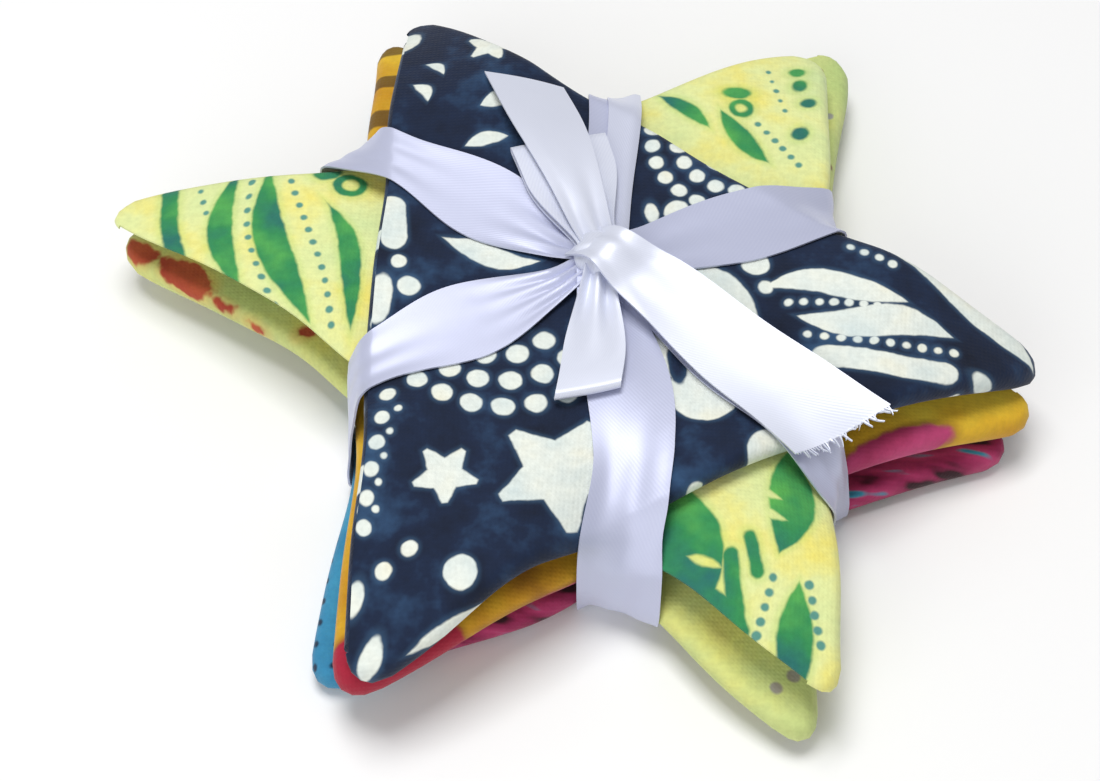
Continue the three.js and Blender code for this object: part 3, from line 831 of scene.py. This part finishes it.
class Print:
    """Motifs on the flat cloth, kept as the distance in millimetres to the nearest, below zero inside."""

    def __init__(self, look, flat):
        self.look, self.flat = look, flat
        self.nearest = None

    def draw(self, motif, *places):
        for place in places:
            distance = motif(*place)
            if self.nearest is not None:
                distance = self.look.math("MINIMUM", self.nearest, distance)
            self.nearest = distance

    def cut(self, motif, *places):
        """Takes motifs away from what is drawn."""
        for place in places:
            outside = self.look.math("MULTIPLY", motif(*place), -1.0)
            self.nearest = self.look.math("MAXIMUM", self.nearest, outside)

    def local(self, x, y, turn, long=1.0, wide=1.0):
        """The flat cloth as seen from one place, turned there and measured by two lengths."""
        sockets = {"Vector": self.flat, "Location": (x, y, 0.0), "Rotation": (0.0, 0.0, np.radians(turn)),
                   "Scale": (long, wide, 1.0)}
        return self.look.node("ShaderNodeMapping", sockets, vector_type="TEXTURE").outputs["Vector"]

    def bowed(self, x0, y0, x1, y1, bow, wave=0.0):
        """A bowed and waved line: its length, share along it, distance to its left, arch of the share."""
        look = self.look
        length = np.hypot(x1 - x0, y1 - y0)
        turn = np.degrees(np.arctan2(y1 - y0, x1 - x0))
        share, aside = look.split(self.local(x0, y0, turn, length))
        arch = look.math("MULTIPLY", share, look.math("SUBTRACT", 1.0, share))
        line = look.math("MULTIPLY_ADD", arch, -4.0 * bow, aside)
        swing = look.math("SINE", look.math("MULTIPLY", share, 2.0 * np.pi))
        return length, share, look.math("MULTIPLY_ADD", swing, -wave, line), arch

    def disc(self, x, y, radius):
        made = self.look.node("ShaderNodeVectorMath", {0: self.flat, 1: (x, y, 0.0)}, operation="DISTANCE")
        return self.look.math("SUBTRACT", made.outputs["Value"], radius)

    def oval(self, x, y, long, wide, turn):
        reach = self.look.length(self.local(x, y, turn, long, wide))
        return self.look.math("MULTIPLY_ADD", reach, min(long, wide), -min(long, wide))

    def ring(self, x, y, radius, half):
        away = self.look.math("ABSOLUTE", self.disc(x, y, radius))
        return self.look.math("SUBTRACT", away, half)

    def star(self, x, y, radius, turn):
        """A five-pointed star with blunt tips."""
        look = self.look
        place = self.local(x, y, turn)
        across, up = look.split(place)
        sector = np.pi / 5
        angle = look.math("PINGPONG", look.math("ARCTAN2", up, across), sector)
        tip = np.array([STAR_SHARP * radius, 0.0])
        notch = STAR_NOTCH * radius * np.array([np.cos(sector), np.sin(sector)])
        edge = notch - tip
        out = np.array([edge[1], -edge[0]]) / np.hypot(*edge)
        lean = look.math("COSINE", look.math("SUBTRACT", angle, np.arctan2(out[1], out[0])))
        reach = look.length(place)
        beside = look.math("MULTIPLY_ADD", reach, lean, -tip @ out)
        return look.math("MAXIMUM", beside, look.math("SUBTRACT", reach, radius))

    def leaf(self, x0, y0, x1, y1, width, bow=0.0, wave=0.0):
        _, _, line, arch = self.bowed(x0, y0, x1, y1, bow, wave)
        return self.look.math("MULTIPLY_ADD", arch, -2.0 * width, self.look.math("ABSOLUTE", line))

    def bar(self, x0, y0, x1, y1, width, bow=0.0, wave=0.0):
        """A leaf with round ends."""
        look = self.look
        length, share, line, _ = self.bowed(x0, y0, x1, y1, bow, wave)
        held = look.clamp(share, 0.5 * width / length, 1.0 - 0.5 * width / length)
        along = look.math("MULTIPLY", look.math("SUBTRACT", share, held), length)
        return look.math("SUBTRACT", look.span(along, line), width / 2)

    def row(self, x0, y0, x1, y1, count, radius, bow=0.0):
        """Dots on a line."""
        look = self.look
        length, share, line, _ = self.bowed(x0, y0, x1, y1, bow)
        step = look.math("ROUND", look.math("MULTIPLY", share, count - 1.0))
        held = look.math("DIVIDE", look.clamp(step, 0.0, count - 1.0), count - 1.0)
        along = look.math("MULTIPLY", look.math("SUBTRACT", share, held), length)
        return look.math("SUBTRACT", look.span(along, line), radius)

    def arcs(self, x, y, first, apart, rings, start, sweep, pitch, radius):
        """Dots on arcs round one middle, from a direction on through a sweep."""
        look = self.look
        place = self.local(x, y, start + sweep / 2)
        across, up = look.split(place)
        reach = look.length(place)
        ring = look.math("ROUND", look.math("DIVIDE", look.math("SUBTRACT", reach, first), apart))
        middle = look.math("MULTIPLY_ADD", look.clamp(ring, 0.0, rings - 1.0), apart, first)
        step = look.math("DIVIDE", pitch, middle)
        angle = look.math("ARCTAN2", up, across)
        most = look.math("FLOOR", look.math("DIVIDE", np.radians(sweep / 2), step))
        place = look.math("ROUND", look.math("DIVIDE", angle, step))
        least = look.math("MULTIPLY", most, -1.0)
        held = look.math("MULTIPLY", look.clamp(place, least, most), step)
        along = look.math("MULTIPLY", look.math("SUBTRACT", angle, held), reach)
        return look.math("SUBTRACT", look.span(along, look.math("SUBTRACT", reach, middle)), radius)

    def strewn(self, apart, least, most, packet):
        """Dots strewn over the cloth beyond the top triangle."""
        look = self.look
        sockets = {"Vector": self.flat, "Scale": 1.0 / apart, "Randomness": 0.8}
        cells = look.node("ShaderNodeTexVoronoi", sockets, voronoi_dimensions="2D")
        size = look.math("MULTIPLY_ADD", look.noise(self.flat, 0.06, 1.0), most - least, least)
        away = look.math("SUBTRACT", look.math("MULTIPLY", cells.outputs["Distance"], apart), size)
        beyond = outside(look, self.flat, packet, 0)
        for side in (1, 2):
            beyond = look.math("MAXIMUM", beyond, outside(look, self.flat, packet, side))
        return look.math("MAXIMUM", away, look.math("SUBTRACT", 5.0, beyond))

    def share(self, wobble=0.35, soft=0.22):
        """Share of the drawn motifs, their edges wandering as wax does on cloth."""
        look = self.look
        wander = look.math("MULTIPLY_ADD", look.noise(self.flat, 0.34, 2.0), 2.0 * wobble, -wobble)
        return look.between(look.math("ADD", self.nearest, wander), soft, -soft)

    def halo(self, reach, strength):
        """Share of the bled colour round the motifs."""
        return self.look.math("MULTIPLY", self.look.between(self.nearest, reach, 0.0), strength)


def outside(look, flat, packet, side):
    """How far places on the flat cloth lie outside of a packet's side."""
    start, _, _, out = side_frame(packet, side)
    made = look.node("ShaderNodeVectorMath", {0: flat, 1: (*out, 0.0)}, operation="DOT_PRODUCT")
    return look.math("SUBTRACT", made.outputs["Value"], start @ out)


WEAVE = 0.42              # threads to the millimetre in a wave texture's own scale


def cotton(name, coloured, packet):
    """Plain woven cotton: its printed colour, weave, puckers and a soft bloom."""
    look = Look(name)
    flat = look.read("flat", "Vector")
    colour = coloured(look, flat, packet)
    weave = look.math("MULTIPLY", look.wave(flat, WEAVE, "X", 0.6), look.wave(flat, WEAVE, "Y", 0.6))
    shade = look.between(look.noise(flat, 0.9, 2.0), 0.25, 0.75)
    thread = look.blend(look.math("MULTIPLY", shade, 0.1), colour, (0.0, 0.0, 0.0))
    pucker = look.bump(look.noise(flat, 0.085, 4.0, 0.55), 0.5, 1.4 * MM)
    fine = look.bump(weave, 0.3, 0.12 * MM, pucker)
    look.fill(look.shader, {"Base Color": thread, "Normal": fine, "Roughness": 0.82, "Sheen Weight": 0.12,
                            "Sheen Roughness": 0.5, "Specular IOR Level": 0.25})
    return look.material


def navy_print(look, flat, packet):
    """Off-white stars, dots and leaves on dark blue."""
    white = Print(look, flat)
    white.draw(white.star, (-22.7, -35.5, 5.4, 60), (-4.2, -33.8, 10.8, 68), (-21.5, 58, 4.6, 80))
    white.draw(white.disc, (-19, -53.3, 2.8), (-27.3, -48.8, 1.35), (-31.4, -52.1, 1.35), (26.6, 9.2, 2.4),
               (-31.1, 1.9, 1.9), (-33.2, 6.7, 1.3), (18.5, -17, 6.2), (31, -29, 5),
               (17.6, -37, 1.6), (-26.8, 18, 0.7), (-25.4, 16.5, 0.7), (28.4, 4.4, 1.3),
               (62.4, -14, 0.9))
    white.draw(white.oval, (-35.9, -1, 4.8, 2.2, 86), (17, -4, 12.2, 10.5, 90),
               (9.4, 19.4, 2.2, 1.2, 98), (13.8, 20.3, 2.5, 2, 60), (-33, -65.5, 3.6, 1.6, 75),
               (-35.6, -56, 2.6, 1.2, 80), (65.6, -10.6, 2.8, 1.4, -20), (-37.5, 61, 3.6, 2.2, 60))
    white.cut(white.oval, (13.4, -12.4, 3.9, 1.7, 100))
    white.draw(white.arcs, (-16.1, -2, 5, 5, 4, 200, 122, 5.1, 1.75),
               (24.8, 37.6, 3, 4.5, 4, 165, 130, 3.7, 1.35))
    white.draw(white.leaf, (27.6, 4, 51.6, 2.6, 5, 2.4, 0.8), (33.6, -0.9, 60, -2.8, 6.4, 0.3, -0.9),
               (47, 14.6, 74.5, -4.6, 7.4, 2.4, 0.4), (-26.6, 12.8, -10, 8.4, 4.4, -1.2, 0.5),
               (-24.4, 32.6, -17, 34.8, 3, 0.6), (-22.4, 41.8, -16, 43.2, 3.6, 0.8),
               (-34.6, 47.6, -31.6, 43.4, 2.2, 1), (-33, 53.2, -29.6, 50.2, 1.8, 0.9),
               (-27.5, -65, -11, -58.6, 3, 0.6), (-13, 54, -4, 47, 2.4, 0.6))
    white.draw(white.bar, (36.2, -9, 60.4, -10.4, 4.4, -0.4, 0.3), (-36.4, 20.5, -34.2, 9.2, 4.6))
    white.draw(white.row, (32.2, 1.7, 48.8, 0.9, 8, 0.68, 0.7), (35.4, -4.6, 60, -6, 10, 0.75, -0.5),
               (42.4, 13.4, 49, 9.8, 4, 0.75), (-33.2, -21, -35, -45, 6, 1.3, -0.9),
               (-31.4, -24, -33.4, -42, 5, 0.6, -0.9))
    white.draw(white.strewn, (11, 1.2, 3.4, packet))
    ground = look.ramp(look.noise(flat, 0.075, 4.0, 0.6),
                       [(0.3, srgb(10, 20, 40)), (0.52, srgb(19, 35, 63)), (0.74, srgb(48, 80, 116))])
    pale = look.ramp(look.noise(flat, 0.11, 3.0),
                     [(0.3, srgb(212, 224, 222)), (0.55, srgb(232, 237, 228)), (0.8, srgb(240, 236, 212))])
    near = look.blend(white.halo(1.1, 0.32), ground, srgb(66, 104, 138))
    return look.blend(white.share(), near, pale)


def green_print(look, flat, packet):
    """Green leaves and rows of teal dots on pale yellow."""
    leaves = Print(look, flat)
    leaves.draw(leaves.leaf, (-64.8, 31, -61.6, 3.6, 4.6, -3.2), (-58.8, 32, -48.6, -3.2, 6, -3.3),
                (-47.8, 23, -41, -4, 4, 1.8, 0.4), (9.5, 51.5, 18.6, 43.4, 3.2, 0.5),
                (20.5, 48, 29.2, 35.8, 3.8, -0.7), (12, -31, 19, -54, 12, -0.6),
                (34, -24, 30.4, -44.2, 8.4, 1.4), (33.9, -48.6, 33.2, -68, 6))
    leaves.draw(leaves.bar, (-76.6, 30, -73.2, 11, 3, -0.6), (25.2, -41, 27.2, -48.5, 2.3),
                (22.2, -44, 25.2, -58.5, 2.8, -0.5), (16, -50, 24.6, -55, 3))
    leaves.draw(leaves.oval, (-48.2, 30.6, 2.6, 1.7, 20), (23.4, 52.6, 2.6, 1.5, 5),
                (34.4, 60, 1.7, 1.1, 30), (34.7, 56.2, 1.8, 1.3, 60), (36.2, 51.6, 1.5, 1.1, 30),
                (34.6, 43.3, 1.9, 1.4, 60))
    leaves.draw(leaves.ring, (-44.2, 27.8, 2.2, 0.7), (24.2, 48.8, 1.7, 0.6))
    leaves.cut(leaves.leaf, (24, -32, 31.6, -34.6, 2.2), (24.4, -36.6, 32, -38.4, 1.9),
               (15.6, -45.6, 21, -47.4, 1.6))
    leaves.draw(leaves.strewn, (15, 2, 4.4, packet))
    dots = Print(look, flat)
    dots.draw(dots.row, (-62, 28, -55.6, 0.4, 10, 0.62, -2), (-54.6, 28, -44.6, -3.4, 12, 0.64, 0.4),
              (-71.2, 27, -69.4, 22, 3, 0.5), (27.2, 45, 34.4, 35.4, 6, 0.6),
              (29.5, -48.2, 27.4, -58, 5, 0.75), (35.6, -48.8, 37.8, -58.6, 5, 0.75),
              (29, 59, 32, 49, 5, 0.5))
    dots.draw(dots.strewn, (6, 0.4, 1.4, packet))
    ground = look.ramp(look.noise(flat, 0.06, 4.0, 0.55),
                       [(0.3, srgb(212, 229, 164)), (0.5, srgb(229, 235, 162)), (0.68, srgb(240, 228, 118))])
    greens = look.ramp(look.noise(flat, 0.075, 3.0),
                       [(0.34, srgb(40, 112, 104)), (0.5, srgb(52, 142, 84)), (0.68, srgb(92, 178, 84))])
    near = look.blend(leaves.halo(1.7, 0.35), ground, srgb(176, 208, 104))
    drawn = look.blend(leaves.share(0.4, 0.35), near, greens)
    return look.blend(dots.share(0.3, 0.25), drawn, srgb(92, 152, 138))


def gold_print(look, flat, packet):
    """Mustard with magenta ovals, crimson and dark brown towards two tips."""
    ovals = Print(look, flat)
    start, run, _, out = side_frame(packet, 2)
    turn = np.degrees(np.arctan2(run[1], run[0]))
    along_side = [(102.0, -0.8, 10.5, 4.4), (74.0, 1.2, 13.0, 0.8), (50.0, -0.6, 12.0, 0.8),
                  (40.0, 2.4, 22.0, 0.7)]
    for travel, offset, long, wide in along_side:
        ovals.draw(ovals.oval, (*(start + travel * run + offset * out), long, wide, turn + 2.0))
    ovals.draw(ovals.oval, (*(start + 9 * run), 13, 9, turn))
    ovals.draw(ovals.strewn, (16, 2, 5, packet))
    ground = look.ramp(look.noise(flat, 0.05, 3.0),
                       [(0.3, srgb(122, 62, 20)), (0.4, srgb(202, 146, 30)), (0.55, srgb(222, 178, 44)),
                        (0.72, srgb(236, 208, 66))])
    stripes = look.math("MULTIPLY", look.between(look.wave(flat, 0.03, "Y", 2.0), 0.62, 0.78), 0.75)
    striped = look.blend(stripes, ground, srgb(56, 38, 26))
    _, up = look.split(flat)
    ground = look.blend(look.between(up, 30.0, 44.0), ground, striped)
    pinks = look.ramp(look.noise(flat, 0.07, 2.0), [(0.35, srgb(160, 44, 84)), (0.6, srgb(198, 74, 124))])
    pinks = look.blend(look.between(up, -44.0, -54.0), pinks, srgb(168, 34, 58))
    near = look.blend(ovals.halo(1.2, 0.5), ground, srgb(120, 48, 30))
    return look.blend(ovals.share(0.8, 0.4), near, pinks)


def lime_print(look, flat, packet):
    """Pale green with red-brown scallops at one tip and a few spots."""
    scallops = Print(look, flat)
    scallops.draw(scallops.oval, (-81.4, 21, 3.2, 2, -30), (-73, 15, 6, 3, -42),
                  (-66.6, 8.6, 2.4, 1, -35), (-61, 4, 2, 0.9, -35), (-50.9, 2, 1.9, 1.2, 20),
                  (-56, -2.6, 2.2, 0.8, -35))
    scallops.draw(scallops.strewn, (17, 1.2, 4, packet))
    spots = Print(look, flat)
    spots.draw(spots.disc, (39.4, 70, 0.8), (41.2, 57, 0.8), (39.4, 48.6, 0.9), (41.2, 45, 0.7),
               (34.2, -59.3, 1.1), (31.4, -61.6, 1))
    ground = look.ramp(look.noise(flat, 0.05, 4.0),
                       [(0.34, srgb(188, 208, 132)), (0.5, srgb(206, 217, 140)), (0.64, srgb(226, 224, 128)),
                        (0.8, srgb(206, 190, 104))])
    warm = look.blend(scallops.halo(1.6, 0.4), ground, srgb(222, 176, 92))
    reds = look.ramp(look.noise(flat, 0.1, 2.0), [(0.35, srgb(160, 54, 42)), (0.65, srgb(194, 92, 58))])
    marked = look.blend(scallops.share(1.4, 0.4), warm, reds)
    tints = look.ramp(look.noise(flat, 0.05, 1.0), [(0.4, srgb(150, 120, 70)), (0.6, srgb(168, 182, 190))])
    return look.blend(spots.share(0.3, 0.3), marked, tints)


def blue_print(look, flat, packet):
    """Turquoise with rows of dark dots, and magenta and maroon along the front."""
    dots = Print(look, flat)
    start, run, length, out = side_frame(packet, 1)
    for offset in (-4.0, -0.5, 3.0):
        first, last = start + 5.0 * run + offset * out, start + (length - 5.0) * run + offset * out
        dots.draw(dots.row, (*first, *last, 34.0, 0.6))
    dots.draw(dots.strewn, (5, 0.3, 1, packet))
    ground = look.ramp(look.noise(flat, 0.04, 4.0),
                       [(0.35, srgb(46, 122, 166)), (0.5, srgb(66, 152, 190)), (0.7, srgb(100, 182, 202))])
    long = look.node("ShaderNodeMapping", {"Vector": flat, "Rotation": (0.0, 0.0, np.radians(-31.0)),
                                           "Scale": (0.35, 1.3, 1.0)}).outputs["Vector"]
    bands = look.ramp(look.noise(long, 0.2, 2.0),
                      [(0.36, srgb(52, 16, 28)), (0.44, srgb(150, 38, 84)), (0.6, srgb(188, 62, 112)),
                       (0.66, srgb(64, 150, 176)), (0.76, srgb(40, 74, 110))])
    front = look.between(outside(look, flat, packet, 2), -9.0, -5.0)
    across, _ = look.split(flat)
    front = look.math("MULTIPLY", front, look.between(across, -34.0, -20.0))
    ground = look.blend(front, ground, bands)
    return look.blend(dots.share(0.3, 0.3), ground, srgb(20, 48, 74))


def satin():
    """White satin with fine slanting ribs. Its tint carries painted light: a single layer is painted greyer
    than the loops and ends, partly for the dark cloth that shows through and partly as painted shade, and the
    loops, ends and knot are painted whiter as a painted highlight where they face up to the lamp.
    """
    look = Look("white_satin")
    flat = look.read("flat", "Vector")
    twill = look.node("ShaderNodeMapping", {"Vector": flat, "Rotation": (0.0, 0.0, 0.6)}).outputs["Vector"]
    ribs = look.wave(twill, 0.6, "X", 0.4)
    # painted light: the greyer tint for a single layer stands for see-through and painted shade, the whiter
    # one for a painted highlight on loops, ends and knot
    tint = look.blend(look.read("layers"), srgb(196, 200, 224), srgb(226, 230, 244))
    cloudy = look.blend(look.math("MULTIPLY", look.noise(flat, 0.06, 2.0), 0.12), tint, srgb(150, 156, 190))
    threads = look.blend(look.math("MULTIPLY", ribs, 0.08), cloudy, srgb(150, 156, 196))
    soft = look.bump(look.noise(flat, 0.1, 2.0), 0.08, 0.9 * MM)
    way = look.node("ShaderNodeTangent", direction_type="UV_MAP", uv_map="threads").outputs["Tangent"]
    look.fill(look.shader, {"Base Color": threads, "Normal": look.bump(ribs, 0.1, 0.08 * MM, soft),
                            "Tangent": way, "Metallic": 0.22, "Roughness": 0.45, "Anisotropic": 0.7,
                            "Specular IOR Level": 0.8, "Sheen Weight": 0.15, "Sheen Roughness": 0.4})
    return look.material


# Floor, light and camera

FLOOR_HALF = 3000.0


def floor():
    size = FLOOR_HALF * MM
    mesh = bpy.data.meshes.new("floor")
    mesh.from_pydata([(-size, -size, 0.0), (size, -size, 0.0), (size, size, 0.0), (-size, size, 0.0)], [],
                     [(0, 1, 2, 3)])
    plane = bpy.data.objects.new("floor", mesh)
    bpy.context.collection.objects.link(plane)
    look = Look("floor_paper")
    place = look.node("ShaderNodeTexCoord").outputs["Object"]
    tone = look.ramp(look.noise(place, 3.0, 2.0), [(0.3, (0.9,) * 3), (0.7, (0.93,) * 3)])
    look.fill(look.shader, {"Base Color": tone, "Roughness": 0.9})
    mesh.materials.append(look.material)


def area_light(name, place, size, watts):
    """A square lamp turned to the bundle."""
    lamp = bpy.data.lights.new(name, "AREA")
    lamp.energy = watts
    lamp.size = size * MM
    body = bpy.data.objects.new(name, lamp)
    body.location = Vector(place) * MM
    body.rotation_euler = (-Vector(place)).to_track_quat("-Z", "Y").to_euler()
    bpy.context.collection.objects.link(body)


def lights():
    world = bpy.data.worlds.new("studio")
    world.use_nodes = True
    sky = world.node_tree.nodes["Background"].inputs
    sky["Color"].default_value = (1.0, 1.0, 1.0, 1.0)
    sky["Strength"].default_value = 0.36
    bpy.context.scene.world = world
    area_light("key", place=(-80.0, 80.0, 850.0), size=360.0, watts=4.8)
    area_light("fill", place=(-300.0, -650.0, 400.0), size=700.0, watts=2.2)


CAMERA_AZIMUTH = 2.77
CAMERA_ELEVATION = 55.6
CAMERA_DISTANCE = 416.5
CAMERA_NEAR = 10.0
CAMERA_TARGET = (-7.29, -9.54, 15.0)
FOCAL_PIXELS = 2453.6
PHOTO_WIDTH = 1100.0
SENSOR = 36.0


def camera():
    lens = bpy.data.cameras.new("camera")
    lens.sensor_width = SENSOR
    lens.lens = SENSOR * FOCAL_PIXELS / PHOTO_WIDTH
    lens.clip_start = CAMERA_NEAR * MM
    body = bpy.data.objects.new("camera", lens)
    turn, up = np.radians(CAMERA_AZIMUTH), np.radians(CAMERA_ELEVATION)
    back = Vector((np.sin(turn) * np.cos(up), -np.cos(turn) * np.cos(up), np.sin(up)))
    target = Vector(CAMERA_TARGET) * MM
    body.location = target + back * CAMERA_DISTANCE * MM
    body.rotation_euler = (-back).to_track_quat("-Z", "Y").to_euler()
    bpy.context.collection.objects.link(body)
    bpy.context.scene.camera = body


# The bundle

def place_piece(piece, node, material):
    piece.data.materials.append(material)
    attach(piece, "root")
    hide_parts(node)


camera()
lights()
floor()
bpy.context.scene.view_settings.view_transform = "Standard"

CLOTHS = [("blue_batik", blue_print), ("lime_batik", lime_print), ("gold_batik", gold_print),
          ("green_batik", green_print), ("navy_batik", navy_print)]
for packet, (slot, coloured) in zip(PACKETS, CLOTHS):
    piece = build_packet(packet)
    place_piece(piece, packet["node"], cotton(slot, coloured, packet))

ribbon = build_ribbon()
place_piece(ribbon, "ribbon", satin())
